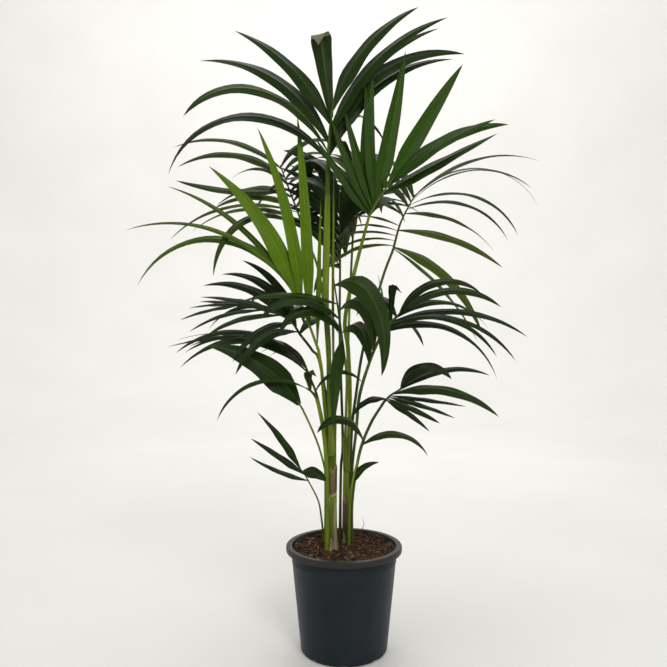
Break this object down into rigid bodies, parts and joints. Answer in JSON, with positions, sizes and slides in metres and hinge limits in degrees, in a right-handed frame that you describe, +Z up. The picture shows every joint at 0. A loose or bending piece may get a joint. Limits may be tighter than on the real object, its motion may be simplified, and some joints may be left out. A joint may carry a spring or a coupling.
{
  "type": "kentia palm",
  "caption": "Potted kentia palm: arching feather fronds on long green stalks from two clumped stems, in a round tapered nursery pot that rests flat on the floor",
  "frame": {"origin": "centre of the pot's flat underside, on the floor", "axes": "+Z up along the pot's axis, the picture's camera looks along +Y, +X is right in the picture"},
  "size_m": [0.9259, 0.5878, 1.2941],
  "materials": {
    "pot": "matte",
    "soil": "rough",
    "stem": "satin",
    "petiole": "satin",
    "leaf_deep": "satin",
    "leaf_young": "satin",
    "leaf_mid": "satin",
    "leaf_dark": "satin",
    "leaf_olive": "satin"
  },
  "bodies": {
    "root": {"frond_back": "leaf_olive", "frond_broad_left": "leaf_deep", "frond_centre_back": "leaf_dark", "frond_foot_right": "leaf_deep", "frond_front_centre": "leaf_deep", "frond_front_left": "leaf_deep", "frond_front_low": "leaf_deep", "frond_left_back": "leaf_dark", "frond_low_right": "leaf_dark", "frond_mid_left": "leaf_dark", "frond_mid_right": "leaf_dark", "frond_right_back": "leaf_dark", "frond_seedling": "leaf_deep", "frond_top": "leaf_deep", "frond_upper_left": "leaf_olive", "frond_upper_right": "leaf_mid", "frond_young": "leaf_young", "petiole_back": "petiole", "petiole_broad_left": "petiole", "petiole_centre_back": "petiole", "petiole_foot_right": "petiole", "petiole_front_centre": "petiole", "petiole_front_left": "petiole", "petiole_front_low": "petiole", "petiole_left_back": "petiole", "petiole_low_right": "petiole", "petiole_mid_left": "petiole", "petiole_mid_right": "petiole", "petiole_right_back": "petiole", "petiole_seedling": "petiole", "petiole_top": "petiole", "petiole_upper_left": "petiole", "petiole_upper_right": "petiole", "petiole_young": "petiole", "pot": "pot", "soil": "soil", "spear": "leaf_mid", "stem_left": "stem", "stem_right": "stem"}
  },
  "joints": []
}
